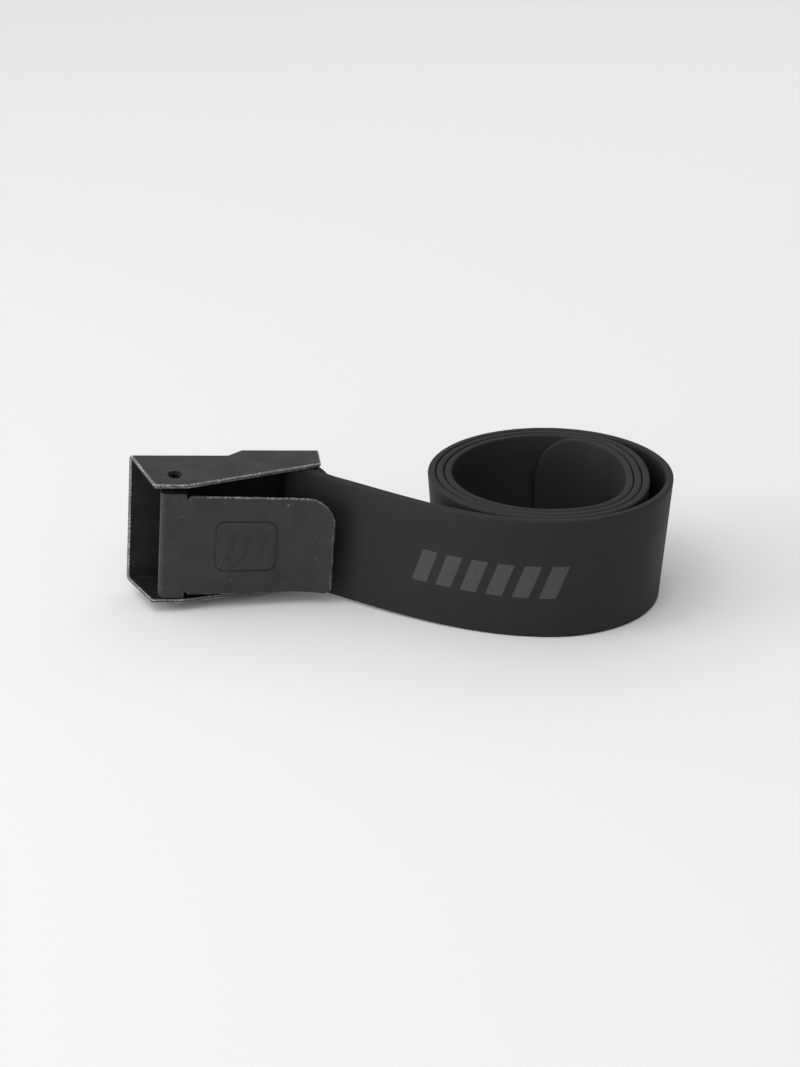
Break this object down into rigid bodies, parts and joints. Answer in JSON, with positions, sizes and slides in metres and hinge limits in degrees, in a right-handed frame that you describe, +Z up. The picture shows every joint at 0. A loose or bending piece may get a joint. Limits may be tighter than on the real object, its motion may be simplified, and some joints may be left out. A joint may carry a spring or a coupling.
{
  "type": "weight belt",
  "caption": "Rolled elastomer weight belt with a black folded-steel cam buckle: the strap loops round a cross bar and a hinged lever clamps its free end.",
  "frame": {"origin": "centre of the bounding box in X and Y, on the floor plane that the rolled strap stands on", "axes": "+X from the buckle towards the rolled end of the strap, -Y to the lever's side, +Z up across the strap's width"},
  "size_m": [0.219, 0.0992, 0.0603],
  "materials": {
    "strap_rubber": "matte",
    "frame_steel": "satin black coating",
    "bar_steel": "satin black coating",
    "lever_steel": "satin black coating",
    "pin_steel": "satin black coating, worn"
  },
  "bodies": {
    "belt": {"strap": "strap_rubber"},
    "buckle": {"buckle_frame": "frame_steel", "strap_bar": "bar_steel", "pivot_pin": "pin_steel"},
    "lever": {"cam_lever": "lever_steel"}
  },
  "joints": [
    {"name": "buckle_swivel", "type": "hinge", "parent": "belt", "child": "buckle", "pos_m": [-0.0413, 0.0044, 0.02841], "axis": [0.0692, -0.0515, 0.9963], "range_deg": [-45, 4]},
    {"name": "lever_hinge", "type": "hinge", "parent": "buckle", "child": "lever", "pos_m": [-0.08858, -0.01671, 0.0306], "axis": [-0.0692, 0.0515, -0.9963], "range_deg": [0, 120]}
  ]
}
